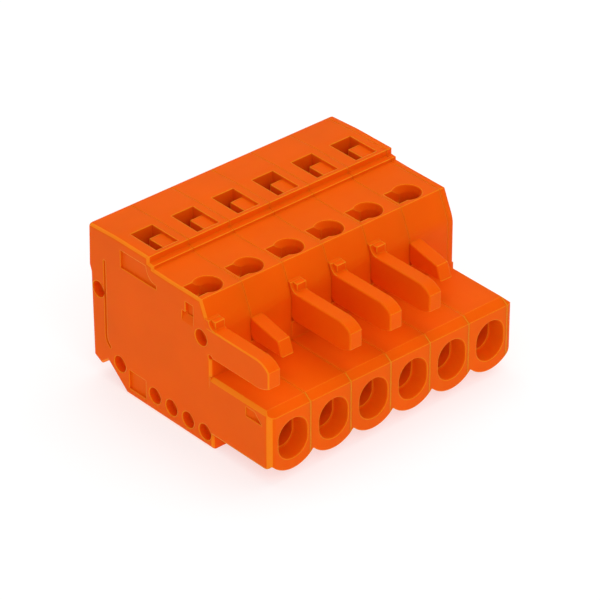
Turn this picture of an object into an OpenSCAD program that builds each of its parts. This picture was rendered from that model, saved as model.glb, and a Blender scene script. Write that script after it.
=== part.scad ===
// Pluggable terminal block: a row of single-pole spring-clamp modules closed by an end plate.
// Each module is measured from its own left face (x), the mating face (y) and the foot (z).
// X runs along the row, -Y is the mating face, +Z is up. All sizes are in millimetres.

/* [Row] */
// Distance from one pole to the next
pitch = 5.08; // [4.98:0.02:5.6]
// Number of poles
poles = 6; // [2:1:8]
// Thickness of the end plate
end_plate_t = 0.8; // [0.7:0.1:2]
// Thickness of the left wall that each module has
wall_t = 1.45; // [1.4:0.01:1.55]

/* [Body outline] */
// Depth from the mating face to the back
depth = 26.7; // [26.2:0.1:29]
// Height of the ridge behind the wire entries
ridge_z = 17.25; // [16.95:0.05:19]
// Height of the terrace that holds the wire entries
terrace_z = 16.15; // [15.9:0.05:16.4]
// Height of the tread between terrace and ridge
tread_z = 16.58; // [16.5:0.02:16.8]
// Distance of the tread from the mating face
tread_y = 16.87; // [16.6:0.05:17.1]
// Depth of the tread
tread_d = 0.65; // [0.4:0.05:0.8]
// Distance of the body's lower front from the mating face
body_y = 8.54; // [8.4:0.02:8.7]
// Distance of the terrace's front edge from the mating face
terrace_y = 9.88; // [9.7:0.02:9.95]
// Lean of the upper front from the vertical, in degrees
front_lean = 24; // [18:1:30]
// Radius where the upright front starts to lean
lean_r = 3; // [1:0.5:4]
// Fall of the top from the ridge to the back edge
top_fall = 0.2; // [0:0.05:0.5]
// Radius of the top back edge
back_edge_r = 0.45; // [0.2:0.05:0.8]
// Height of the small step in the back
back_step_z = 12; // [10:0.5:14]
// Depth of the small step in the back
back_step_d = 0.25; // [0.1:0.05:0.4]
// Height at which the back's lower edge begins
back_low_z = 2.1; // [1.8:0.1:2.5]

/* [Foot] */
// Distance of the foot's front from the mating face
foot_y = 8.3; // [8:0.05:8.5]
// Length of the foot
foot_l = 13; // [12.5:0.1:13.5]
// Depth of the notch behind the foot
foot_notch = 0.85; // [0.5:0.05:1.1]

/* [Mating side] */
// Height of the pin axis
pin_z = 4.35; // [4.2:0.05:4.5]
// Distance of the pin axis from the module's left face
pin_x = 2.89; // [2.8:0.01:2.95]
// Outer radius of the barrel round each pin
barrel_r = 3.38; // [3.1:0.02:3.6]
// Height of the shelf's top
shelf_z = 8.1; // [7.7:0.05:8.5]
// Length of the bevel on the shelf's front edge
shelf_bevel_l = 0.88; // [0.4:0.02:1.2]
// Height of the bevel on the shelf's front edge
shelf_bevel_h = 0.6; // [0.3:0.02:0.8]
// Width of the pin opening
opening_w = 3.6; // [3.2:0.05:3.7]
// Height of the pin opening
opening_h = 4.4; // [4:0.05:4.8]
// Depth of the pin opening's wide mouth
opening_d = 1; // [0.6:0.1:1.4]
// Width of the chamber behind the mouth
chamber_w = 2.5; // [2.4:0.05:2.7]
// Height of the chamber behind the mouth
chamber_h = 3.6; // [3.2:0.05:3.9]

/* [Fingers] */
// Thickness of a finger
finger_t = 1.5; // [1.2:0.05:1.7]
// Height of a finger's underside
finger_z = 10.35; // [10:0.05:10.6]
// Height of a long finger
finger_h = 3.12; // [2.6:0.02:3.4]
// Distance of a long finger's tip from the mating face
finger_tip_y = 0.18; // [0:0.02:1]
// Length of the rounding at a long finger's tip
tip_round_l = 1.8; // [1:0.05:2.4]
// Drop of the upper rounding at a long finger's tip
tip_drop = 0.8; // [0.4:0.05:1.1]
// Rise of the lower rounding at a long finger's tip
tip_rise = 0.55; // [0.3:0.05:0.9]
// Radius of the fillet at a finger's root
root_r = 0.9; // [0.4:0.05:1.2]
// Distance of a latch finger's tip from the mating face
latch_tip_y = 4.07; // [3.6:0.05:5]
// Height of a latch finger at its tip
latch_tip_h = 1.5; // [1.1:0.05:1.8]
// Height of a latch finger at its root
latch_root_h = 2.4; // [2:0.05:2.8]
// Slant of a latch finger's tip
latch_slant = 0.6; // [0.2:0.05:1]

/* [Wire entry] */
// Distance of the wire axis from the inside of the left wall
wire_off = 1.2; // [1.18:0.01:1.3]
// Distance of the wire axis from the mating face
wire_y = 11.6; // [11.5:0.05:11.7]
// Radius of the wire bore
wire_r = 1.15; // [1:0.05:1.18]
// Radius of the entry funnel at the top
funnel_r = 1.42; // [1.3:0.02:1.46]
// Depth of the straight part at the funnel's top
funnel_top_d = 0.75; // [0.5:0.05:1]
// Depth of the funnel's cone
funnel_cone_d = 1.1; // [0.8:0.05:1.3]
// Wall left between the funnel and the module's left face
funnel_wall = 0.46; // [0.3:0.02:0.7]

/* [Tool slot] */
// Width of the slot for the screwdriver
slot_w = 2.7; // [2.4:0.05:2.8]
// Distance of the slot's front from the mating face
slot_y = 18; // [17.9:0.05:18.3]
// Length of the slot
slot_l = 3.9; // [3.7:0.05:4]
// Length of the guide block inside the slot
guide_l = 2.1; // [1.6:0.05:2.2]
// Depth of the guide block's top below the ridge
guide_d = 1.35; // [0.8:0.05:2]
// Gap between the guide block and the left wall
guide_gap = 0.4; // [0.3:0.05:0.6]

/* [Side face] */
// Radius of the sockets in the left face
socket_r = 0.88; // [0.7:0.02:0.92]
// Depth of the sockets in the left face
socket_d = 1; // [0.8:0.05:1.1]
// Clearance round a peg in its socket
peg_gap = 0.04; // [0.03:0.01:0.08]
// Reach of a peg past the module's right side
peg_l = 0.65; // [0.4:0.05:0.68]
// Spacing of the pegs along the foot
peg_step = 2.48; // [2.35:0.01:2.55]
// Depth of the shallow recesses in the left face
recess_d = 0.22; // [0.1:0.02:0.4]

/* [Contact] */
// Thickness of the current bar
bar_t = 0.8; // [0.6:0.05:0.9]
// Width of the current bar
bar_w = 2.1; // [1.8:0.05:2.2]
// Width of the bar's nose inside the spring's window
nose_w = 1.3; // [1.1:0.05:1.4]
// Thickness of a fork tine
tine_t = 0.45; // [0.35:0.02:0.55]
// Gap between the tines where they grip the pin
grip_gap = 0.9; // [0.6:0.05:1.1]
// Width of the fork
fork_w = 2; // [1.6:0.05:2.1]

/* [Clamp spring] */
// Thickness of the spring strip
strip_t = 0.35; // [0.25:0.01:0.4]
// Width of the spring strip
strip_w = 2.2; // [2:0.05:2.25]
// Width of the window in the spring's clamping leg
window_w = 1.6; // [1.5:0.05:1.7]
// Radius of the spring's loop
loop_r = 3; // [2.8:0.05:3.05]
// Clearance between the spring's clamping edge and the bar
edge_gap = 0.06; // [0.03:0.01:0.15]
// Clearance between the spring's foot and the bar
foot_gap = 0.04; // [0.03:0.01:0.1]

/* [Hidden] */

eps = 0.01;
row_l = poles * pitch + end_plate_t;

// Tool slot, from the module's left face
slot_x = wall_t;
wire_x = wall_t + wire_off;
slot_end_y = slot_y + slot_l;
guide_end_y = slot_y + guide_l;

// Cavity that holds the contact and the spring; it is open to the right
floor_z = pin_z - 0.85;
room_floor_z = floor_z + 1.4;
roof_z = terrace_z - 3.25;
chamber_end_y = 8.7;
room_front_y = wire_y - 1.4;
room_back_y = slot_end_y + 0.3;
chamber_roof_z = pin_z + chamber_h / 2;

// Current bar: its upright leg stands behind the wire
bar_face_y = wire_y + 1.3;
bar_back_y = bar_face_y + bar_t;
nose_top_z = roof_z - 0.4;
nose_low_z = roof_z - 2.9;

// Clamp spring: a C-shaped loop with a windowed leg across the bar's nose
leg_z = roof_z - 1.5;
loop_z = leg_z - loop_r;
loop_y = bar_back_y + foot_gap + (loop_r + strip_t / 2) * cos(45);
window_front_y = bar_face_y - edge_gap;
window_back_y = loop_y - 0.1;
edge_w = 0.75;
lip_h = 0.5;

// Finger forms
finger_top_z = finger_z + finger_h;
tip_top_r = (tip_round_l * tip_round_l + tip_drop * tip_drop) / (2 * tip_drop);
tip_low_r = (tip_round_l * tip_round_l + tip_rise * tip_rise) / (2 * tip_rise);

// Front that leans back above the fingers
lean_dy = terrace_y - body_y;
lean_arc_dy = lean_r * (1 - cos(front_lean));
lean_top_dz = (lean_dy - lean_arc_dy) / tan(front_lean);
lean_z = terrace_z - lean_top_dz - lean_r * sin(front_lean);

// Sockets in the left wall, with the neighbour's pegs in them, as [y, z]
FOOT_PEGS = [for (i = [0:3]) [foot_y + 1.15 + i * peg_step, 1.5 + 0.13 * i]];
BODY_PEGS = [
    [terrace_y - 0.05, roof_z - 0.9],
    [slot_end_y + 0.25, pin_z - 1.4],
    [depth - 1.5, pin_z + 5.75]
];
PEGS = concat(FOOT_PEGS, BODY_PEGS);

function arc(cy, cz, r, from, to, steps = 8) =
    [for (i = [0:steps]) let (a = from + (to - from) * i / steps) [cy + r * cos(a), cz + r * sin(a)]];

// A latch finger stands on the second pole and on the last
function has_latch(i) = i == 2 || i == poles;

// Moves a module from its own corner to its place in the row
module at_pole(i) {
    translate([(i - 1) * pitch - row_l / 2, -depth / 2, 0]) children();
}

// Extrudes a side view drawn in y and z from x0 to x1
module slab(x0, x1) {
    translate([x0, 0, 0]) rotate([90, 0, 90]) linear_extrude(x1 - x0) children();
}

// Extrudes a front view drawn in x and z from y0 to y1
module bar_along(y0, y1) {
    translate([0, y1, 0]) rotate([90, 0, 0]) linear_extrude(y1 - y0) children();
}

// Side view of the body behind the shelf
module body_outline() {
    foot_end_y = foot_y + foot_l;
    back_y = depth - back_step_d;
    low_y = depth - back_step_d - 0.15;
    top_z = ridge_z - top_fall;
    polygon(concat(
        [[foot_y, 0], [foot_end_y, 0]],
        [[low_y - 2.25, back_low_z + foot_notch - 0.6], [low_y - 1.15, back_low_z - 0.6]],
        [[low_y, back_low_z], [back_y, back_step_z - 0.4], [depth, back_step_z + 0.3]],
        arc(depth - 0.1 - back_edge_r, top_z - back_edge_r, back_edge_r, 0, 90),
        [[tread_y + tread_d, ridge_z], [tread_y + tread_d, tread_z]],
        [[tread_y, tread_z - 0.05], [tread_y, terrace_z + 0.05]],
        [[terrace_y + 5.2, terrace_z], [terrace_y, terrace_z]],
        arc(body_y + lean_r, lean_z, lean_r, 180 - front_lean, 180),
        [[body_y, shelf_z - 1], [foot_y, shelf_z - 1]]
    ));
}

// Side view of the shelf and the barrels under it
module shelf_outline() {
    polygon([
        [0, 0], [0, shelf_z - shelf_bevel_h], [shelf_bevel_l, shelf_z],
        [body_y + eps, shelf_z], [body_y + eps, 0]
    ]);
}

// Front view of one module's shelf, whose underside follows the barrels
module barrel_outline(x0, x1) {
    intersection() {
        translate([x0, 0]) square([x1 - x0, shelf_z + 1]);
        union() {
            translate([x0, pin_z]) square([x1 - x0, shelf_z]);
            translate([pin_x, pin_z]) circle(barrel_r, $fn = 96);
            translate([pin_x - pitch, pin_z]) circle(barrel_r, $fn = 96);
        }
    }
}

module shelf(x0, x1) {
    intersection() {
        bar_along(0, body_y + eps) barrel_outline(x0, x1);
        slab(x0, x1) shelf_outline();
    }
}

// Side view of a long coding finger with its rounded tip
module long_finger_outline() {
    round_y = finger_tip_y + tip_round_l;
    intersection() {
        translate([finger_tip_y, finger_z]) square([terrace_y - finger_tip_y, finger_h]);
        union() {
            translate([round_y, finger_top_z - tip_top_r]) circle(tip_top_r, $fn = 96);
            translate([round_y, finger_z - 1]) square([terrace_y, finger_h + 2]);
        }
        union() {
            translate([round_y, finger_z + tip_low_r]) circle(tip_low_r, $fn = 96);
            translate([round_y, finger_z - 1]) square([terrace_y, finger_h + 2]);
        }
    }
}

// Side view of a short latch finger with its slanted, square tip
module latch_finger_outline() {
    polygon([
        [latch_tip_y, finger_z], [latch_tip_y + latch_slant, finger_z + latch_tip_h],
        [body_y + 0.4, finger_z + latch_root_h], [body_y + 0.4, finger_z]
    ]);
}

// Side view of the fillet between a finger's top and the leaning front
module root_fillet(top_z) {
    difference() {
        translate([body_y - root_r * 0.8, top_z - eps]) square([root_r + 0.6, root_r]);
        translate([body_y - root_r * 0.8, top_z + root_r]) circle(root_r, $fn = 64);
    }
}

module finger(i) {
    slab(0, finger_t) {
        if (has_latch(i)) latch_finger_outline();
        else {
            long_finger_outline();
            root_fillet(finger_top_z);
        }
    }
}

// Pin opening: a wide oval mouth and a narrower chamber behind it
module pin_opening() {
    mouth_r = opening_w / 2;
    half = (opening_h - opening_w) / 2;
    bar_along(-1, opening_d) translate([pin_x, pin_z]) {
        translate([0, half]) circle(mouth_r, $fn = 72);
        translate([0, -half]) circle(mouth_r, $fn = 72);
        translate([-mouth_r, -half]) square([opening_w, 2 * half]);
    }
    translate([pin_x - chamber_w / 2, 0, pin_z - chamber_h / 2])
        cube([chamber_w, chamber_end_y + eps, chamber_h]);
}

// Wire entry: a square-cornered recess, a cone and a round bore
module wire_entry() {
    top_z = terrace_z - funnel_top_d;
    cone_z = top_z - funnel_cone_d;
    translate([wire_x, wire_y, roof_z - eps]) cylinder(h = cone_z - roof_z + 2 * eps, r = wire_r, $fn = 64);
    translate([wire_x, wire_y, cone_z])
        cylinder(h = funnel_cone_d + eps, r1 = wire_r, r2 = funnel_r, $fn = 64);
    translate([wire_x, wire_y, top_z]) cylinder(h = funnel_top_d + 1, r = funnel_r, $fn = 64);
    bar_along(wire_y - funnel_r, wire_y + funnel_r) polygon([
        [funnel_wall, terrace_z + 1], [funnel_wall, top_z],
        [wall_t, cone_z + 0.3], [wire_x, cone_z + 0.3], [wire_x, terrace_z + 1]
    ]);
}

// Screwdriver slot with the guide block that narrows its lower part
module tool_slot() {
    difference() {
        translate([slot_x, slot_y, roof_z - eps]) cube([slot_w, slot_l, ridge_z - roof_z + 1]);
        translate([slot_x + guide_gap, slot_y - 1, roof_z - 1])
            cube([slot_w, guide_l + 1, ridge_z - guide_d - roof_z + 1]);
    }
}

// Cavity for the contact and the spring, open to the neighbour on the right
module cavity() {
    difference() {
        slab(wall_t, pitch + 1) polygon([
            [chamber_end_y, floor_z], [bar_back_y + 0.3, floor_z],
            [bar_back_y + 0.9, room_floor_z], [room_back_y - 1.6, room_floor_z],
            [room_back_y, room_floor_z + 1.6], [room_back_y, roof_z],
            [room_front_y, roof_z], [room_front_y, chamber_roof_z], [chamber_end_y, chamber_roof_z]
        ]);
        translate([wall_t - 1, BODY_PEGS[0][0], BODY_PEGS[0][1]])
            rotate([0, 90, 0]) cylinder(h = pitch + 3, r = socket_r + 0.22, $fn = 48);
    }
}

// Recesses in the module's left face
module side_recesses() {
    for (p = PEGS)
        translate([-eps, p[0], p[1]]) rotate([0, 90, 0]) cylinder(h = socket_d + eps, r = socket_r, $fn = 48);
    // Pocket beside the wire entry, with a ramp behind its upper end
    slab(-eps, 0.8) translate([wire_y - 0.65, roof_z]) square([1.2, 2.2]);
    translate([0, wire_y + 0.5, roof_z + 0.9]) linear_extrude(1.3)
        polygon([[-eps, 0], [0.8, 0], [-eps, 0.7]]);
    // Bare field for a label, with its upper front corner cut round
    slab(-eps, recess_d) difference() {
        translate([tread_y - 0.5, terrace_z - 1.95]) square([5.3, 1.95]);
        translate([tread_y - 0.5, terrace_z]) circle(1.5, $fn = 64);
    }
    // Field under the spring, field behind the slot and wedge beside the shelf
    slab(-eps, recess_d) translate([slot_y + 0.25, 0.85]) square([2.5, 2.1]);
    line_y = depth - 3.9;
    slab(-eps, recess_d * 0.6) polygon(concat(
        [[line_y + 1.5, back_step_z + 1.85], [line_y + 1.2, back_step_z + 1.85]],
        arc(line_y, pin_z + 1, 1.2, 0, -60), arc(line_y, pin_z + 1, 1.5, -60, 0)
    ));
    slab(-eps, recess_d * 1.5) polygon([
        [1.1, shelf_z - 1.6], [3.5, shelf_z - 1.1], [3.5, shelf_z - 0.65], [1.3, shelf_z - 0.65]
    ]);
}

// Pegs that plug into the next module's sockets
module pegs() {
    for (p = PEGS)
        translate([pitch - eps, p[0], p[1]]) rotate([0, 90, 0])
            cylinder(h = peg_l + eps, r = socket_r - peg_gap, $fn = 48);
}

module housing(i) {
    color([0.93, 0.36, 0.05]) at_pole(i) {
        difference() {
            union() {
                slab(0, pitch) body_outline();
                shelf(0, pitch);
                finger(i);
            }
            pin_opening();
            wire_entry();
            tool_slot();
            cavity();
            side_recesses();
        }
        pegs();
    }
}

module end_plate() {
    bevel = end_plate_t;
    color([0.93, 0.36, 0.05]) at_pole(poles) difference() {
        union() {
            slab(pitch, pitch + end_plate_t) body_outline();
            shelf(pitch, pitch + end_plate_t);
        }
        // Bevel along the shelf's outer edge
        bar_along(-1, body_y) polygon([
            [pitch, shelf_z], [pitch + bevel + 1, shelf_z - bevel - 1], [pitch + bevel + 1, shelf_z + 1],
            [pitch, shelf_z + 1]
        ]);
        for (p = PEGS)
            translate([pitch - 1, p[0], p[1]]) rotate([0, 90, 0])
                cylinder(h = end_plate_t + 2, r = socket_r, $fn = 48);
    }
}

// Side view of one tine, above the pin axis
module tine_outline() {
    root_y = chamber_end_y - 0.8;
    grip_y = opening_d + 2.1;
    tip_y = opening_d + 0.8;
    polygon([
        [root_y, 0.9], [grip_y, grip_gap / 2], [tip_y, grip_gap / 2 + 0.4],
        [tip_y, grip_gap / 2 + 0.4 + tine_t], [grip_y, grip_gap / 2 + tine_t], [root_y, 0.9 + tine_t]
    ]);
}

module contact(i) {
    root_y = chamber_end_y - 0.8;
    base_h = 1.8 + 2 * tine_t;
    color([0.78, 0.76, 0.7]) at_pole(i) {
        slab(pin_x - fork_w / 2, pin_x + fork_w / 2) {
            translate([0, pin_z]) tine_outline();
            translate([0, pin_z]) mirror([0, 1]) tine_outline();
            translate([root_y - eps, pin_z - base_h / 2]) square([0.7, base_h]);
            translate([root_y, floor_z]) square([1.5, pin_z + base_h / 2 - floor_z]);
        }
        translate([wire_x - bar_w / 2, chamber_end_y + 0.1, floor_z])
            cube([bar_w, bar_back_y - chamber_end_y - 0.1, bar_t]);
        translate([wire_x - bar_w / 2, bar_face_y, floor_z]) cube([bar_w, bar_t, nose_low_z - floor_z]);
        translate([wire_x - nose_w / 2, bar_face_y, floor_z]) cube([nose_w, bar_t, nose_top_z - floor_z]);
    }
}

module clamp_spring(i) {
    far = 3 * loop_r;
    color([0.72, 0.73, 0.75]) at_pole(i) difference() {
        slab(wire_x - strip_w / 2, wire_x + strip_w / 2) {
            translate([loop_y, loop_z]) difference() {
                circle(loop_r + strip_t / 2, $fn = 96);
                circle(loop_r - strip_t / 2, $fn = 96);
                polygon([[0, 0], [0, far], [-far, far], [-far, -far]]);
            }
            translate([window_front_y - edge_w, leg_z - strip_t / 2])
                square([loop_y - window_front_y + edge_w + eps, strip_t]);
            translate([window_front_y - edge_w, leg_z - lip_h]) square([strip_t, lip_h]);
        }
        translate([wire_x - window_w / 2, window_front_y, leg_z - 1])
            cube([window_w, window_back_y - window_front_y, 2]);
    }
}

for (i = [1:poles]) housing(i);
end_plate();
for (i = [1:poles]) contact(i);
for (i = [1:poles]) clamp_spring(i);
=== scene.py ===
"""Pluggable terminal block: moulded orange modules with spring clamps, on a pale studio floor."""

import math

import bmesh
import bpy
from bpy.props import FloatProperty, FloatVectorProperty, PointerProperty
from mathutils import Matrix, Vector


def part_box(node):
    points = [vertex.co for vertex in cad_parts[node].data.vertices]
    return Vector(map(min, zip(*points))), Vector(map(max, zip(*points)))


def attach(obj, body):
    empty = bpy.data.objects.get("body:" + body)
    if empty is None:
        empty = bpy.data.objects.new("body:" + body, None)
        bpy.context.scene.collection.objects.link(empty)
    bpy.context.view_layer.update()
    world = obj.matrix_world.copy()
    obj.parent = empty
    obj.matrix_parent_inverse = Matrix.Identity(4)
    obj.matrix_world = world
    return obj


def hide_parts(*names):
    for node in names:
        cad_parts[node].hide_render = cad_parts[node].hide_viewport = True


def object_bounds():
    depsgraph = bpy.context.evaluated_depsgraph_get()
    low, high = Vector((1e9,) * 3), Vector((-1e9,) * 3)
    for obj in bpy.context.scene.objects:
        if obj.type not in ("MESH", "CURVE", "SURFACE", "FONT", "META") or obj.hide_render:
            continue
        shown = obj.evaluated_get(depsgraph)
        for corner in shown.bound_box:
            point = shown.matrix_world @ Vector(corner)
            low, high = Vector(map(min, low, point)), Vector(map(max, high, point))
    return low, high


bl_info = {
    "name": "Pluggable Terminal Block",
    "version": (1, 0, 0),
    "blender": (4, 5, 0),
    "location": "View3D > Sidebar > Terminal Block",
    "description": "Finishes a spring-clamp plug connector and sets its studio",
    "category": "Object",
}

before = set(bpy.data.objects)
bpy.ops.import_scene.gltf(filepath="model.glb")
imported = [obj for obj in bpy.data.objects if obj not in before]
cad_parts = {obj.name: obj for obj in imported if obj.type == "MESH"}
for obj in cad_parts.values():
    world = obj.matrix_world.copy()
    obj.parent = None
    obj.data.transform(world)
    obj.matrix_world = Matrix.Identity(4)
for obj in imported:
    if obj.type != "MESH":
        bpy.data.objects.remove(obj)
CAD_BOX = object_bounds()
POLES = len([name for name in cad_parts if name.startswith("housing_")])


# ---------------------------------------------------------------- settings


class HousingSettings(bpy.types.PropertyGroup):
    colour: FloatVectorProperty(
        name="Plastic colour",
        description="Colour of the moulded housing",
        subtype="COLOR",
        size=4,
        min=0.0,
        max=1.0,
        default=(0.88, 0.112, 0.0015, 1.0),
    )
    # Colour of the painted highlight that is mixed onto edges and the open left rim
    edge_highlight_colour: FloatVectorProperty(
        name="Edge colour",
        description="Paler colour along thin outer edges",
        subtype="COLOR",
        size=4,
        min=0.0,
        max=1.0,
        default=(1.0, 0.31, 0.015, 1.0),
    )
    roughness: FloatProperty(
        name="Roughness",
        description="Roughness of the moulded surface",
        min=0.0,
        max=1.0,
        default=0.5,
    )
    glow: FloatProperty(
        name="Translucence",
        description="Share of the light that goes into the plastic and comes out again",
        min=0.0,
        max=1.0,
        default=0.3,
    )
    edge: FloatProperty(
        name="Edge rounding",
        description="Radius that the mould leaves on every edge",
        subtype="DISTANCE",
        unit="LENGTH",
        min=0.0,
        max=0.0005,
        default=0.0002,
    )
    outer_edge: FloatProperty(
        name="Outer edge",
        description="Radius along the row's open left side",
        subtype="DISTANCE",
        unit="LENGTH",
        min=0.0001,
        max=0.0006,
        default=0.00042,
    )
    mouth_width: FloatProperty(
        name="Mouth width",
        description="Width of a pin mouth at the mating face",
        subtype="DISTANCE",
        unit="LENGTH",
        min=0.0032,
        max=0.0038,
        default=0.0036,
    )
    funnel_radius: FloatProperty(
        name="Funnel radius",
        description="Radius of a wire funnel at the terrace",
        subtype="DISTANCE",
        unit="LENGTH",
        min=0.0012,
        max=0.0015,
        default=0.00145,
    )
    grain: FloatProperty(
        name="Mould grain",
        description="Strength of the fine eroded texture",
        min=0.0,
        max=1.0,
        default=0.12,
    )


class MetalSettings(bpy.types.PropertyGroup):
    contact_colour: FloatVectorProperty(
        name="Contact colour",
        description="Colour of the tin plating",
        subtype="COLOR",
        size=4,
        min=0.0,
        max=1.0,
        default=(0.74, 0.72, 0.68, 1.0),
    )
    spring_colour: FloatVectorProperty(
        name="Spring colour",
        description="Colour of the spring steel",
        subtype="COLOR",
        size=4,
        min=0.0,
        max=1.0,
        default=(0.50, 0.50, 0.51, 1.0),
    )
    strip_width: FloatProperty(
        name="Strip width",
        description="Width of the spring strip",
        subtype="DISTANCE",
        unit="LENGTH",
        min=0.0018,
        max=0.0022,
        default=0.0022,
    )
    strip_thickness: FloatProperty(
        name="Strip thickness",
        description="Thickness of the spring strip",
        subtype="DISTANCE",
        unit="LENGTH",
        min=0.0002,
        max=0.0004,
        default=0.00035,
    )


class StageSettings(bpy.types.PropertyGroup):
    camera_spot: FloatVectorProperty(
        name="Camera place",
        description="Where the camera stands",
        subtype="TRANSLATION",
        unit="LENGTH",
        size=3,
        default=(-0.2247, -0.2556, 0.2242),
    )
    look_at: FloatVectorProperty(
        name="Looked-at point",
        description="Point that the camera is turned to",
        subtype="TRANSLATION",
        unit="LENGTH",
        size=3,
        default=(-0.00131, -0.00128, 0.00911),
    )
    lens: FloatProperty(
        name="Focal length",
        description="Focal length of the lens, in millimetres",
        min=20.0,
        max=400.0,
        default=249.5,
    )
    key_power: FloatProperty(
        name="Key light",
        description="Power of the large light above",
        min=0.0,
        max=50.0,
        default=0.65,
    )
    fill_power: FloatProperty(
        name="Fill light",
        description="Power of the light from the front",
        min=0.0,
        max=50.0,
        default=0.63,
    )
    sky: FloatProperty(
        name="Room light",
        description="Strength of the even light all round",
        min=0.0,
        max=5.0,
        default=0.6,
    )


# ---------------------------------------------------------------- materials


def fresh_material(name):
    material = bpy.data.materials.new(name)
    material.use_nodes = True
    tree = material.node_tree
    return material, tree, tree.nodes["Principled BSDF"]


def shade(colour, factor):
    """The same colour, darker or lighter."""
    return tuple(min(1.0, factor * part) for part in colour[:3]) + (1.0,)


def noise(tree, vector, scale, detail):
    node = tree.nodes.new("ShaderNodeTexNoise")
    node.inputs["Scale"].default_value = scale
    node.inputs["Detail"].default_value = detail
    tree.links.new(vector, node.inputs["Vector"])
    return node.outputs["Fac"]


def ramp(tree, value, low, high):
    """Colour ramp between two stops, each a position and a colour."""
    node = tree.nodes.new("ShaderNodeValToRGB")
    for stop, (position, colour) in zip(node.color_ramp.elements, (low, high)):
        stop.position = position
        stop.color = colour
    tree.links.new(value, node.inputs["Fac"])
    return node.outputs["Color"]


def remap(tree, value, taken=(0.0, 1.0), given=(0.0, 1.0)):
    """Turns the range taken into the range given."""
    node = tree.nodes.new("ShaderNodeMapRange")
    names = ("From Min", "From Max", "To Min", "To Max")
    for name, limit in zip(names, taken + given):
        node.inputs[name].default_value = limit
    tree.links.new(value, node.inputs["Value"])
    return node.outputs["Result"]


def reckon(tree, operation, *values):
    """Math node on outputs of other nodes and plain numbers."""
    node = tree.nodes.new("ShaderNodeMath")
    node.operation = operation
    for socket, value in zip(node.inputs, values):
        if isinstance(value, bpy.types.NodeSocket):
            tree.links.new(value, socket)
        else:
            socket.default_value = value
    return node.outputs["Value"]


def edge_highlight_mask(tree, surface, rounded):
    """Mask for the painted highlight on edges: high where the rounded normal turns away
    from the flat one and nothing stands close by."""
    nodes, links = tree.nodes, tree.links
    turn = nodes.new("ShaderNodeVectorMath")
    turn.operation = "DOT_PRODUCT"
    links.new(surface.outputs["True Normal"], turn.inputs[0])
    links.new(rounded.outputs["Normal"], turn.inputs[1])
    open_air = nodes.new("ShaderNodeAmbientOcclusion")
    open_air.samples = 6
    open_air.inputs["Distance"].default_value = 0.0004
    turned = remap(tree, turn.outputs["Value"], taken=(0.995, 0.88))
    clear = remap(tree, open_air.outputs["AO"], taken=(0.75, 0.95))
    return reckon(tree, "MULTIPLY", turned, clear)


def rim_highlight_mask(tree, place, surface, width):
    """Mask for the painted highlight along the wide rounding of the row's open left side."""
    nodes, links = tree.nodes, tree.links
    spot, facing = nodes.new("ShaderNodeSeparateXYZ"), nodes.new("ShaderNodeSeparateXYZ")
    links.new(place.outputs["Object"], spot.inputs["Vector"])
    links.new(surface.outputs["Normal"], facing.inputs["Vector"])
    near = reckon(tree, "LESS_THAN", spot.outputs["X"], ROW_LEFT + width)
    slanted = reckon(tree, "COMPARE", facing.outputs["X"], -0.6, 0.34)
    return reckon(tree, "MULTIPLY", near, slanted)


def moulded_plastic(settings):
    """Orange polyamide: an even colour, a fine grain, a soft sheen and a painted highlight along
    edges.
    """
    material, tree, shader = fresh_material("moulded_orange")
    nodes, links = tree.nodes, tree.links
    shader.inputs["Subsurface Weight"].default_value = settings.glow
    shader.inputs["Subsurface Radius"].default_value = (1.0, 0.12, 0.02)
    shader.inputs["Subsurface Scale"].default_value = 0.001
    shader.inputs["IOR"].default_value = 1.5
    shader.inputs["Specular IOR Level"].default_value = 0.06
    shader.inputs["Specular Tint"].default_value = (1.0, 0.5, 0.06, 1.0)

    place = nodes.new("ShaderNodeTexCoord")
    surface = nodes.new("ShaderNodeNewGeometry")
    flow = noise(tree, place.outputs["Object"], 120.0, 3.0)
    colour = tuple(settings.colour)
    tone = ramp(tree, flow, (0.3, shade(colour, 0.95)), (0.7, shade(colour, 1.04)))
    spread = 0.05
    gloss = remap(tree, flow, given=(settings.roughness - spread, settings.roughness + spread))
    links.new(gloss, shader.inputs["Roughness"])

    rounded = nodes.new("ShaderNodeBevel")
    rounded.samples = 8
    rounded.inputs["Radius"].default_value = settings.edge
    # Painted highlight: the edge colour is mixed into the base colour along edges and the open left
    # rim
    rim = rim_highlight_mask(tree, place, surface, settings.outer_edge)
    rim_highlight_share = 0.6
    edge_highlight_mix = nodes.new("ShaderNodeMix")
    edge_highlight_mix.data_type = "RGBA"
    edge_highlight_mix.inputs["B"].default_value = tuple(settings.edge_highlight_colour)
    links.new(
        reckon(
            tree, "MAXIMUM",
            edge_highlight_mask(tree, surface, rounded),
            reckon(tree, "MULTIPLY", rim, rim_highlight_share),
        ),
        edge_highlight_mix.inputs["Factor"],
    )
    links.new(tone, edge_highlight_mix.inputs["A"])
    links.new(edge_highlight_mix.outputs["Result"], shader.inputs["Base Color"])

    bump = nodes.new("ShaderNodeBump")
    bump.inputs["Strength"].default_value = settings.grain
    bump.inputs["Distance"].default_value = 0.00004
    links.new(noise(tree, place.outputs["Object"], 6500.0, 2.0), bump.inputs["Height"])
    links.new(rounded.outputs["Normal"], bump.inputs["Normal"])
    links.new(bump.outputs["Normal"], shader.inputs["Normal"])
    return material


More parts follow.
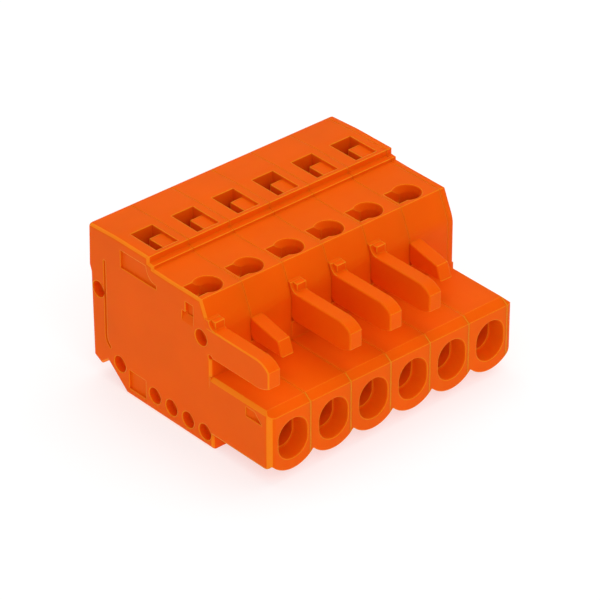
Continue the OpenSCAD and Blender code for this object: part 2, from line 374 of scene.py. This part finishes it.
def plated_metal(name, colour, roughness, brushed):
    """Bare strip metal with faint rolling marks, which a small value of brushed draws out along y."""
    material, tree, shader = fresh_material(name)
    nodes, links = tree.nodes, tree.links
    shader.inputs["Metallic"].default_value = 1.0
    place = nodes.new("ShaderNodeTexCoord")
    stretch = nodes.new("ShaderNodeMapping")
    fine = 900.0
    stretch.inputs["Scale"].default_value = (fine, fine * brushed, fine)
    links.new(place.outputs["Object"], stretch.inputs["Vector"])
    marks = noise(tree, stretch.outputs["Vector"], 3.0, 4.0)
    tone = ramp(tree, marks, (0.0, shade(colour, 0.82)), (1.0, shade(colour, 1.0)))
    links.new(tone, shader.inputs["Base Color"])
    spread = 0.08
    gloss = remap(tree, marks, given=(roughness - spread, roughness + spread))
    links.new(gloss, shader.inputs["Roughness"])
    return material


def floor_paint():
    material, _, shader = fresh_material("pale_floor")
    shader.inputs["Base Color"].default_value = (0.45, 0.45, 0.45, 1.0)
    shader.inputs["Roughness"].default_value = 0.9
    shader.inputs["Specular IOR Level"].default_value = 0.1
    shader.inputs["Emission Color"].default_value = (1.0, 1.0, 1.0, 1.0)
    shader.inputs["Emission Strength"].default_value = 0.6
    return material


def finish_node(node, material):
    """Gives a node's object one material on every slot."""
    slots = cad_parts[node].data.materials
    if len(slots) == 0:
        slots.append(material)
    for number in range(len(slots)):
        slots[number] = material


# ---------------------------------------------------------------- mesh code
# Sizes in this part are in millimetres. x runs from a module's left face, y from the
# mating face and z from the foot. Forms run a little past the faces that they join or
# open.

MM = 0.001
PITCH = (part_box("housing_2")[0][0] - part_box("housing_1")[0][0]) / MM
ROW_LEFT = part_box("housing_1")[0][0]
FRONT = CAD_BOX[0][1]
PLATE_T = (CAD_BOX[1][0] - ROW_LEFT) / MM - POLES * PITCH
DEPTH = (CAD_BOX[1][1] - FRONT) / MM
RIDGE_Z = CAD_BOX[1][2] / MM

# Body, with the terrace in front of the ridge
BODY_Y = 8.54
TERRACE_Y = 9.88
TERRACE_Z = 16.15
SEAM_R = 0.07
PLATE_R = 0.3

# Shelf, barrels and pin openings
SHELF_Z = 8.1
PIN_X, PIN_Z = 2.89, 4.35
BARREL_R = 3.38
PIN_RISE = 0.8
THROAT_W = 3.0
CHAMBER_W = 2.7
CHAMBER_END = 8.7

# Coding fingers
FINGER_Z, FINGER_H, FINGER_T = 10.35, 3.12, 1.5
FINGER_R = 0.12

# Wire entry, tool slot and inner room
WIRE_X, WIRE_Y, WIRE_R = 2.65, 11.6, 1.15
WALL_T = 1.45
SLOT_Y, SLOT_L, SLOT_W = 18.0, 3.9, 2.7
SLOT_BACK = SLOT_Y + SLOT_L
ROOF_Z = TERRACE_Z - 3.25

# Pegs, sockets and shallow fields
SOCKET_R = 0.88
PEG_R = SOCKET_R - 0.04
FOOT_PEGS = [(9.45 + 2.48 * k, 1.5 + 0.13 * k) for k in range(4)]
BODY_PEGS = [
    (TERRACE_Y - 0.05, ROOF_Z - 0.9),
    (SLOT_BACK + 0.25, PIN_Z - 1.4),
    (DEPTH - 1.5, PIN_Z + 5.75),
]
FIELD_DEPTH = 0.22
LINE_DEPTH = 0.13

# Contact and spring
FORK_TIP_Y = 6.6
LOOP_R = 3.0
BAR_FACE_Y = WIRE_Y + 1.3
BAR_BACK_Y = BAR_FACE_Y + 0.8


def arc(a, b, radius, start, stop, steps):
    """Points on a circle round (a, b), from one angle to another in degrees."""
    turns = [math.radians(start + (stop - start) * k / steps) for k in range(steps + 1)]
    return [(a + radius * math.cos(t), b + radius * math.sin(t)) for t in turns]


def ring(a, b, radius, steps=48):
    return arc(a, b, radius, 0, 360, steps)[:-1]


def oval(width):
    """Upright oval round the pin axis, in x and z."""
    half, steps = PIN_RISE / 2, 24
    top = arc(PIN_X, PIN_Z + half, width / 2, 0, 180, steps)
    return top + arc(PIN_X, PIN_Z - half, width / 2, 180, 360, steps)


def inset(points, gap):
    """The same outline moved inwards; it runs anticlockwise."""
    moved = []
    for k, here in enumerate(points):
        before, after = points[k - 1], points[(k + 1) % len(points)]
        u = Vector((here[0] - before[0], here[1] - before[1])).normalized()
        w = Vector((after[0] - here[0], after[1] - here[1])).normalized()
        side = Vector((-u.y - w.y, u.x + w.x)) * gap / (1 + u.dot(w))
        moved.append((here[0] + side.x, here[1] + side.y))
    return moved


def loft(axis, slices):
    """Closed solid through outlines of equal length. axis names the direction it runs in."""
    place = {
        "x": lambda s, a, b: (s, a, b),
        "y": lambda s, a, b: (a, s, b),
        "z": lambda s, a, b: (a, b, s),
    }[axis]
    mesh = bmesh.new()
    rows = [[mesh.verts.new(place(s, a, b)) for a, b in outline] for s, outline in slices]
    count = len(rows[0])
    for low, high in zip(rows, rows[1:]):
        for k in range(count):
            mesh.faces.new((low[k], low[(k + 1) % count], high[(k + 1) % count], high[k]))
    mesh.faces.new(rows[0])
    mesh.faces.new(rows[-1])
    bmesh.ops.recalc_face_normals(mesh, faces=mesh.faces)
    data = bpy.data.meshes.new("form")
    mesh.to_mesh(data)
    mesh.free()
    return data


def slab(x0, x1, outline):
    return loft("x", [(x0, outline), (x1, outline)])


def beam(y0, y1, outline):
    return loft("y", [(y0, outline), (y1, outline)])


def post(z0, z1, outline):
    return loft("z", [(z0, outline), (z1, outline)])


def block(x0, x1, y0, y1, z0, z1):
    return slab(x0, x1, [(y0, z0), (y1, z0), (y1, z1), (y0, z1)])


def carve(base, steps):
    """Joins forms to base and cuts forms from it, in order."""
    scene = bpy.context.scene
    body = bpy.data.objects.new("body", base)
    scene.collection.objects.link(body)
    helpers = [body]
    for operation, form in steps:
        helper = bpy.data.objects.new("form", form)
        scene.collection.objects.link(helper)
        helpers.append(helper)
        joint = body.modifiers.new("carve", "BOOLEAN")
        joint.operation = operation
        joint.solver = "MANIFOLD"
        joint.object = helper
    graph = bpy.context.evaluated_depsgraph_get()
    result = bpy.data.meshes.new_from_object(body.evaluated_get(graph))
    for helper in helpers:
        data = helper.data
        bpy.data.objects.remove(helper)
        bpy.data.meshes.remove(data)
    if len(result.polygons) < 6:
        raise RuntimeError("a carved form came out empty")
    return result


def settle(data, module):
    """Moves a module's mesh from its own corner to its place in the row, in metres."""
    for corner in data.vertices:
        corner.co = (
            ROW_LEFT + ((module - 1) * PITCH + corner.co.x) * MM,
            FRONT + corner.co.y * MM,
            corner.co.z * MM,
        )


def new_piece(name, data, material, body, *replaced):
    data.materials.clear()
    data.materials.append(material)
    piece = bpy.data.objects.new(name, data)
    bpy.context.scene.collection.objects.link(piece)
    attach(piece, body)
    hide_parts(*replaced)
    return piece


# ---------------------------------------------------------------- moulded forms


def body_outline():
    """Side view of a module behind the shelf, in y and z."""
    foot_y, back_y = 8.3, DEPTH - 0.25
    low_y = back_y - 0.15
    top_z, crown_r = RIDGE_Z - 0.2, 0.45
    step_y, ridge_y = 16.87, 17.52
    points = [(foot_y, 0.0), (21.3, 0.0), (low_y - 2.25, 2.35), (low_y - 1.15, 1.5)]
    points += [(low_y, 2.1), (back_y, 11.6), (DEPTH, 12.3)]
    points += arc(DEPTH - 0.55, top_z - crown_r, crown_r, 0, 84, 6)
    points += [(22.66, RIDGE_Z), (ridge_y, RIDGE_Z), (ridge_y, 16.58), (step_y, 16.53)]
    points += [(step_y, TERRACE_Z + 0.05), (TERRACE_Y + 5.2, TERRACE_Z)]
    points += [(TERRACE_Y, TERRACE_Z)]

    lean, radius = 24, 3.0
    turn = math.radians(lean)
    rise = (TERRACE_Y - BODY_Y - radius * (1 - math.cos(turn))) / math.tan(turn)
    centre_z = TERRACE_Z - rise - radius * math.sin(turn)
    points += arc(BODY_Y + radius, centre_z, radius, 180 - lean, 180, 6)
    points += [(BODY_Y, SHELF_Z - 1), (foot_y, SHELF_Z - 1.3)]
    return points


def rounded_body(x0, x1, left, right):
    """Body between two side faces whose edges are rounded to the radii left and right."""
    outline = body_outline()
    turns = [math.radians(22.5 * k) for k in range(5)]
    slices = []
    for t in turns:
        slices.append((x0 + left * (1 - math.cos(t)), inset(outline, left * (1 - math.sin(t)))))
    for t in reversed(turns):
        slices.append((x1 - right * (1 - math.cos(t)), inset(outline, right * (1 - math.sin(t)))))
    return loft("x", slices)


def shelf_form(x0, x1):
    """Shelf with its barrels, from the mating face to the body."""
    steps = 48
    low = []
    for k in range(steps + 1):
        x = x0 + (x1 - x0) * k / steps
        reach = [BARREL_R ** 2 - (x - c) ** 2 for c in (PIN_X - PITCH, PIN_X)]
        low.append((x, PIN_Z - math.sqrt(max(0, *reach))))
    return beam(0, BODY_Y + 0.2, low + [(x1, SHELF_Z), (x0, SHELF_Z)])


def shelf_cuts(x0, x1, round_left, round_right):
    """Bevel along the front, rounded outer corners and the seams' fine bevels."""
    under, over, past = -1, 9, SHELF_Z + 1
    cuts = [slab(x0 - 1, x1 + 1, [(-0.88, 6.9), (1.76, 8.7), (-0.88, 8.7)])]
    corners, edges = [], []
    if round_left:
        r, side = 0.8, 0.35
        corners.append([(-0.1, -0.1), (r, -0.1)] + arc(r, r, r, 270, 180, 10) + [(-0.1, r)])
        edges.append([(-1, SHELF_Z - side - 1), (side + 1, past), (-1, past)])
    if round_right:
        r = x1 - x0 - 0.1
        bend = arc(x1 - r, r, r, 0, -90, 10)
        corners.append([(x1 + 0.1, -0.1), (x1 + 0.1, r)] + bend + [(x1 - r, -0.1)])
        edges.append([(x0, SHELF_Z), (x1 + 1, SHELF_Z - 1.8), (x1 + 1, past), (x0, past)])
    cuts += [post(under, over, corner) for corner in corners]
    brim = SHELF_Z + 0.01
    for x, outer in ((x0, round_left), (x1, round_right)):
        if not outer:
            edges.append([(x - SEAM_R, brim), (x, SHELF_Z - SEAM_R), (x + SEAM_R, brim)])
    cuts += [beam(-1, BODY_Y, edge) for edge in edges]
    return cuts


def finger_side(latch):
    """Side view of a finger, in y and z."""
    top = FINGER_Z + FINGER_H
    if latch:
        root_y, root_h = BODY_Y + 0.4, 2.4
        tip_y, tip_lean, tip_h = 4.07, 0.6, 1.5
        return [
            (tip_y, FINGER_Z), (root_y, FINGER_Z),
            (root_y, FINGER_Z + root_h), (tip_y + tip_lean, FINGER_Z + tip_h),
        ]
    tip_y, reach, low_bend, top_bend = 0.18, 1.8, 0.55, 0.8
    low_r = (reach ** 2 + low_bend ** 2) / (2 * low_bend)
    top_r = (reach ** 2 + top_bend ** 2) / (2 * top_bend)
    low_turn = math.degrees(math.asin(reach / low_r))
    top_turn = math.degrees(math.asin(reach / top_r))
    side = arc(tip_y + reach, FINGER_Z + low_r, low_r, 270 - low_turn, 270, 8)
    side += [(TERRACE_Y - 0.1, FINGER_Z), (TERRACE_Y - 0.1, top)]
    side += arc(tip_y + reach, top - top_r, top_r, 90, 90 + top_turn, 8)
    return side


def finger_forms(latch):
    """Long coding finger with its root, or the shorter latch finger with its slanted tip."""
    side = finger_side(latch)
    soft = FINGER_R * 0.35
    rounding = [(0, FINGER_R), (soft, soft), (FINGER_R, 0)]
    slices = [(x, inset(side, gap)) for x, gap in rounding]
    slices += [(FINGER_T - x, inset(side, gap)) for x, gap in reversed(rounding)]
    forms = [loft("x", slices)]
    if not latch:
        top, foot_y, root_y, hollow_r = FINGER_Z + FINGER_H, BODY_Y - 0.72, BODY_Y + 0.78, 0.9
        root = [(foot_y, top - 0.05), (root_y, top - 0.05), (root_y, top + hollow_r)]
        root += arc(foot_y, top + hollow_r, hollow_r, 0, -90, 10)
        forms.append(slab(0.02, FINGER_T - 0.02, root))
        head_front, head_back = BODY_Y - 0.42, BODY_Y + 0.5
        forms.append(block(0.35, FINGER_T - 0.01, head_front, head_back, top - 0.1, top + 0.85))
    return forms


def pin_opening(mouth_w):
    """Tapered mouth and the chamber behind it."""
    mouth = [(-0.05, oval(mouth_w + 0.16)), (0.08, oval(mouth_w)), (1.7, oval(THROAT_W))]
    return [loft("y", mouth), beam(1.65, CHAMBER_END + 0.05, oval(CHAMBER_W))]


def wire_entry(rim_r):
    """Funnel whose rim stands left of the bore, the bore, and a recess at the left wall."""
    rim_x, neck_x = WIRE_X - 0.3, WIRE_X - 0.08
    low_z = TERRACE_Z - 1.6
    funnel = [
        (TERRACE_Z - 0.75, ring(neck_x, WIRE_Y, WIRE_R)),
        (TERRACE_Z - 0.06, ring(rim_x, WIRE_Y, rim_r)),
        (TERRACE_Z + 0.1, ring(rim_x, WIRE_Y, rim_r + 0.12)),
    ]
    bore = [
        (ROOF_Z - 0.05, ring(WIRE_X, WIRE_Y, WIRE_R)),
        (low_z, ring(WIRE_X, WIRE_Y, WIRE_R)),
        (TERRACE_Z - 0.74, ring(neck_x, WIRE_Y, WIRE_R)),
    ]
    recess = [
        (0.3, TERRACE_Z + 1), (0.3, TERRACE_Z - 0.6), (WALL_T + 0.05, low_z),
        (rim_x, low_z), (rim_x, TERRACE_Z + 1),
    ]
    return [
        loft("z", funnel),
        loft("z", bore),
        beam(WIRE_Y - WIRE_R, WIRE_Y + WIRE_R, recess),
    ]


def tool_slot():
    """Slot for a screwdriver, with a step in its right front corner."""
    left, right = WALL_T, WALL_T + SLOT_W
    step_x, step_y = left + 1.2, SLOT_Y + 2.5
    plan = [
        (left, SLOT_Y), (step_x, SLOT_Y), (step_x, step_y),
        (right, step_y), (right, SLOT_BACK), (left, SLOT_BACK),
    ]
    return [
        post(ROOF_Z - 0.05, RIDGE_Z - 0.3, plan),
        block(left, right, SLOT_Y, SLOT_BACK, RIDGE_Z - 0.35, RIDGE_Z + 1),
    ]


def inner_room():
    """Room for the contact and its spring, open to the right."""
    floor_z, low_z, shelf_top = PIN_Z - 0.85, PIN_Z + 0.55, PIN_Z + 1.8
    near, far, ramp_l = WIRE_Y - 1.4, SLOT_BACK + 0.3, 1.6
    return slab(WALL_T, PITCH + 1, [
        (CHAMBER_END, floor_z), (14.0, floor_z), (14.6, low_z), (far - ramp_l, low_z),
        (far, low_z + ramp_l), (far, ROOF_Z), (near, ROOF_Z), (near, shelf_top),
        (CHAMBER_END, shelf_top),
    ])


def side_cuts():
    """Sockets and shallow fields in a module's left face."""
    cuts = [slab(-0.01, 0.85, ring(y, z, SOCKET_R)) for y, z in FOOT_PEGS + BODY_PEGS]

    # Pocket beside the wire entry, and the ramp below it
    pocket_y, pocket_z = WIRE_Y - 0.65, ROOF_Z + 0.6
    cuts.append(block(-0.1, 0.4, pocket_y, pocket_y + 1.15, pocket_z, pocket_z + 1.45))
    cuts.append(beam(pocket_y, pocket_y + 1.65, [
        (-0.01, pocket_z - 0.9), (0.28, pocket_z), (0.28, pocket_z + 0.3), (-0.01, pocket_z + 0.3),
    ]))

    # Field below the terrace and the ridge, and a small one at the foot
    field_y, field_z, field_r = 16.37, TERRACE_Z - 1.95, 1.5
    field = [(field_y, field_z), (field_y + 5.3, field_z), (field_y + 5.3, TERRACE_Z)]
    field += arc(field_y, TERRACE_Z, field_r, 0, -90, 10)
    cuts.append(slab(-0.1, FIELD_DEPTH, field))
    cuts.append(block(-0.1, FIELD_DEPTH, 18.25, 20.75, 0.85, 2.95))

    # Bent line near the back
    line_y, line_z, line_top = DEPTH - 3.9, PIN_Z + 1, 13.85
    inner_r, outer_r = 1.2, 1.5
    line = [(line_y + outer_r, line_top), (line_y + inner_r, line_top)]
    line += arc(line_y, line_z, inner_r, 0, -60, 8) + arc(line_y, line_z, outer_r, -60, 0, 8)
    cuts.append(slab(-0.1, LINE_DEPTH, line))

    # Wedge below the shelf's front corner, and the relief under the finger's root
    cuts.append(loft("z", [
        (SHELF_Z - 1.7, [(-0.1, 1.15), (0.4, 1.15), (0.1, 3.4), (-0.1, 3.4)]),
        (SHELF_Z - 0.65, [(-0.1, 2.2), (0.26, 2.2), (0.1, 3.4), (-0.1, 3.4)]),
    ]))
    cuts.append(slab(-1, FINGER_T, ring(BODY_Y, FINGER_Z, 0.32, 32)))
    return cuts


def housing_mesh(module, settings):
    """One module. The second and the last carry a latch finger."""
    first = module == 1
    cuts = shelf_cuts(0, PITCH, first, False)
    cuts += pin_opening(settings.mouth_width / MM)
    cuts += wire_entry(settings.funnel_radius / MM)
    cuts += tool_slot() + [inner_room()] + side_cuts()
    pegs = [
        slab(PITCH - 0.2, PITCH + 0.65, ring(y, z, PEG_R)) for y, z in FOOT_PEGS + BODY_PEGS
    ]
    joined = [shelf_form(0, PITCH)] + finger_forms(module in (2, POLES))
    steps = [("UNION", form) for form in joined]
    steps += [("DIFFERENCE", form) for form in cuts]
    steps += [("UNION", form) for form in pegs]
    base = rounded_body(0, PITCH, settings.outer_edge / MM if first else SEAM_R, SEAM_R)
    return carve(base, steps)


def plate_mesh():
    """The end plate, placed from the last module's left face."""
    x0, x1 = PITCH, PITCH + PLATE_T
    cuts = shelf_cuts(x0, x1, False, True)
    cuts += [slab(x0 - 1, x1 + 1, ring(y, z, SOCKET_R)) for y, z in FOOT_PEGS + BODY_PEGS]
    steps = [("UNION", shelf_form(x0, x1))] + [("DIFFERENCE", form) for form in cuts]
    return carve(rounded_body(x0, x1, SEAM_R, PLATE_R), steps)


# ---------------------------------------------------------------- metal forms


def strip_tree(material):
    """Node tree that draws a flat strip with rounded edges along a path."""
    tree = bpy.data.node_groups.new("spring_strip", "GeometryNodeTree")
    face = tree.interface
    face.new_socket(name="Path", in_out="INPUT", socket_type="NodeSocketGeometry")
    for name in ("Strip width", "Strip thickness", "Edge radius"):
        face.new_socket(name=name, in_out="INPUT", socket_type="NodeSocketFloat")
    face.new_socket(name="Strip", in_out="OUTPUT", socket_type="NodeSocketGeometry")
    nodes, links = tree.nodes, tree.links
    start, end = nodes.new("NodeGroupInput"), nodes.new("NodeGroupOutput")
    path = nodes.new("GeometryNodeMeshToCurve")
    links.new(start.outputs["Path"], path.inputs["Mesh"])
    section = nodes.new("GeometryNodeCurvePrimitiveQuadrilateral")
    links.new(start.outputs["Strip width"], section.inputs["Width"])
    links.new(start.outputs["Strip thickness"], section.inputs["Height"])
    eased = nodes.new("GeometryNodeFilletCurve")
    eased.mode = "POLY"
    eased.inputs["Count"].default_value = 3
    links.new(section.outputs["Curve"], eased.inputs["Curve"])
    links.new(start.outputs["Edge radius"], eased.inputs["Radius"])
    sweep = nodes.new("GeometryNodeCurveToMesh")
    sweep.inputs["Fill Caps"].default_value = True
    links.new(path.outputs["Curve"], sweep.inputs["Curve"])
    links.new(eased.outputs["Curve"], sweep.inputs["Profile Curve"])
    real = nodes.new("GeometryNodeRealizeInstances")
    links.new(sweep.outputs["Mesh"], real.inputs["Geometry"])
    finish = nodes.new("GeometryNodeSetMaterial")
    finish.inputs["Material"].default_value = material
    links.new(real.outputs["Geometry"], finish.inputs["Geometry"])
    links.new(finish.outputs["Geometry"], end.inputs["Strip"])
    return tree


def grow(points, tree, sizes):
    """Runs a node tree on a path and returns the plain mesh. sizes goes by input name."""
    path = bpy.data.meshes.new("path")
    path.from_pydata(points, [(k, k + 1) for k in range(len(points) - 1)], [])
    holder = bpy.data.objects.new("path", path)
    bpy.context.scene.collection.objects.link(holder)
    growth = holder.modifiers.new("growth", "NODES")
    growth.node_group = tree
    for socket in tree.interface.items_tree:
        if socket.in_out == "INPUT" and socket.name in sizes:
            growth[socket.identifier] = sizes[socket.name]
    graph = bpy.context.evaluated_depsgraph_get()
    data = bpy.data.meshes.new_from_object(holder.evaluated_get(graph))
    bpy.data.objects.remove(holder)
    bpy.data.meshes.remove(path)
    return data


def spring_mesh(tree, settings):
    """Clamp spring: a hooked leg with a window for the bar, and a wide loop down to its foot."""
    thick = settings.strip_thickness / MM
    width = settings.strip_width / MM
    leg_z = ROOF_Z - 1.5
    loop_z = leg_z - LOOP_R
    loop_y = BAR_BACK_Y + 0.04 + (LOOP_R + thick / 2) * math.cos(math.pi / 4)
    tip_y = BAR_FACE_Y - 0.81 + thick / 2
    hook_r, hook_l, tolerance, window_w = 0.25, 0.5, 0.01, 1.6
    side = [(tip_y, leg_z - hook_l)]
    side += arc(tip_y + hook_r, leg_z - hook_r, hook_r, 180, 90, 4)
    side += arc(loop_y, loop_z, LOOP_R, 90, -135, 40)
    path = [(WIRE_X, y, z) for y, z in side]
    sizes = {"Strip width": width, "Strip thickness": thick, "Edge radius": thick * 0.2}
    strip = grow(path, tree, sizes)
    reach = [corner.co.x for corner in strip.vertices]
    if abs(max(reach) - min(reach) - width) > tolerance:
        raise RuntimeError("the spring strip lies on its edge")
    half = window_w / 2
    front, back = BAR_FACE_Y - 0.06, loop_y - 0.1
    window = block(WIRE_X - half, WIRE_X + half, front, back, leg_z - 1, leg_z + 1)
    return carve(strip, [("DIFFERENCE", window)])


def contact_mesh(node):
    """The current bar with its fork, whose tips stand back from the mouth."""
    mesh = bmesh.new()
    mesh.from_mesh(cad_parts[node].data)
    bmesh.ops.remove_doubles(mesh, verts=mesh.verts, dist=1e-7)
    bmesh.ops.scale(mesh, vec=(1 / MM, 1 / MM, 1 / MM), verts=mesh.verts)
    data = bpy.data.meshes.new(node)
    mesh.to_mesh(data)
    mesh.free()
    front, wide = FRONT / MM, 40
    tips = block(-wide, wide, front - 1, front + FORK_TIP_Y, 0, 9)
    data = carve(data, [("DIFFERENCE", tips)])
    for corner in data.vertices:
        corner.co *= MM
    return data


# ---------------------------------------------------------------- operators


class BLOCK_OT_housing(bpy.types.Operator):
    """Finish the moulded modules and their end plate"""

    bl_idname = "terminal_block.housing"
    bl_label = "Moulded Housing"

    def execute(self, context):
        settings = context.scene.block_housing
        plastic = moulded_plastic(settings)
        for number in range(1, POLES + 1):
            data = housing_mesh(number, settings)
            settle(data, number)
            node = f"housing_{number}"
            new_piece(f"module_{number}", data, plastic, "block", node)
            finish_node(node, plastic)
        plate = plate_mesh()
        settle(plate, POLES)
        new_piece("closing_plate", plate, plastic, "block", "end_plate")
        finish_node("end_plate", plastic)
        return {"FINISHED"}


class BLOCK_OT_contacts(bpy.types.Operator):
    """Finish the current bars with their pin forks"""

    bl_idname = "terminal_block.contacts"
    bl_label = "Contacts"

    def execute(self, context):
        settings = context.scene.block_metal
        tin = plated_metal("tin_plating", settings.contact_colour, roughness=0.32, brushed=0.2)
        for number in range(1, POLES + 1):
            node = f"contact_{number}"
            new_piece(f"pin_fork_{number}", contact_mesh(node), tin, "block", node)
            finish_node(node, tin)
        return {"FINISHED"}


class BLOCK_OT_springs(bpy.types.Operator):
    """Finish the clamp springs"""

    bl_idname = "terminal_block.springs"
    bl_label = "Clamp Springs"

    def execute(self, context):
        settings = context.scene.block_metal
        steel = plated_metal("spring_steel", settings.spring_colour, roughness=0.28, brushed=0.1)
        tree = strip_tree(steel)
        for number in range(1, POLES + 1):
            data = spring_mesh(tree, settings)
            settle(data, number)
            node = f"clamp_spring_{number}"
            new_piece(f"spring_strip_{number}", data, steel, f"spring_{number}", node)
            finish_node(node, steel)
        return {"FINISHED"}


def set_up(name, data, spot, target):
    """Puts a lamp or a camera at spot, turned to target."""
    holder = bpy.data.objects.new(name, data)
    holder.location = spot
    holder.rotation_euler = (Vector(target) - Vector(spot)).to_track_quat("-Z", "Y").to_euler()
    bpy.context.scene.collection.objects.link(holder)
    return holder


def area_light(name, spot, size, power):
    """Rectangular white light turned to the middle of the block."""
    lamp = bpy.data.lights.new(name, "AREA")
    lamp.shape = "RECTANGLE"
    lamp.size, lamp.size_y = size
    lamp.energy = power
    set_up(name, lamp, spot, (0, 0, 0.008))


class BLOCK_OT_stage(bpy.types.Operator):
    """Set the floor, the soft lights and the camera"""

    bl_idname = "terminal_block.stage"
    bl_label = "Studio"

    def execute(self, context):
        settings = context.scene.block_stage
        scene = context.scene

        mesh = bpy.data.meshes.new("floor")
        half = 1.5
        corners = [(-half, -half, 0), (half, -half, 0), (half, half, 0), (-half, half, 0)]
        mesh.from_pydata(corners, [], [(0, 1, 2, 3)])
        mesh.materials.append(floor_paint())
        floor = bpy.data.objects.new("floor", mesh)
        scene.collection.objects.link(floor)

        scene.view_settings.view_transform = "Standard"
        world = bpy.data.worlds.new("studio")
        scene.world = world
        world.use_nodes = True
        backdrop = world.node_tree.nodes["Background"]
        backdrop.inputs["Color"].default_value = (1.0, 1.0, 1.0, 1.0)
        backdrop.inputs["Strength"].default_value = settings.sky

        area_light("key", (0.12, 0.08, 0.42), (0.45, 0.35), settings.key_power)
        area_light("fill", (-0.16, -0.36, 0.36), (0.3, 0.3), settings.fill_power)

        camera = bpy.data.cameras.new("camera")
        camera.lens = settings.lens
        camera.sensor_width = 36.0
        camera.clip_start = 0.01
        camera.clip_end = 10.0
        scene.camera = set_up("camera", camera, settings.camera_spot, settings.look_at)
        return {"FINISHED"}


# ---------------------------------------------------------------- panel


class BLOCK_PT_panel(bpy.types.Panel):
    bl_label = "Terminal Block"
    bl_idname = "BLOCK_PT_panel"
    bl_space_type = "VIEW_3D"
    bl_region_type = "UI"
    bl_category = "Terminal Block"

    def draw(self, context):
        scene = context.scene
        for title, group in (
            ("Housing", scene.block_housing),
            ("Metal", scene.block_metal),
            ("Studio", scene.block_stage),
        ):
            box = self.layout.box()
            box.label(text=title)
            for name in type(group).__annotations__:
                box.prop(group, name)
        for operator in OPERATORS:
            self.layout.operator(operator.bl_idname)


OPERATORS = (
    BLOCK_OT_stage,
    BLOCK_OT_housing,
    BLOCK_OT_contacts,
    BLOCK_OT_springs,
)
CLASSES = (HousingSettings, MetalSettings, StageSettings) + OPERATORS + (BLOCK_PT_panel,)


def register():
    for cls in CLASSES:
        bpy.utils.register_class(cls)
    bpy.types.Scene.block_housing = PointerProperty(type=HousingSettings)
    bpy.types.Scene.block_metal = PointerProperty(type=MetalSettings)
    bpy.types.Scene.block_stage = PointerProperty(type=StageSettings)


def unregister():
    del bpy.types.Scene.block_stage
    del bpy.types.Scene.block_metal
    del bpy.types.Scene.block_housing
    for cls in reversed(CLASSES):
        bpy.utils.unregister_class(cls)


def main():
    register()
    bpy.ops.terminal_block.stage()
    bpy.ops.terminal_block.housing()
    bpy.ops.terminal_block.contacts()
    bpy.ops.terminal_block.springs()


if __name__ == "__main__":
    main()
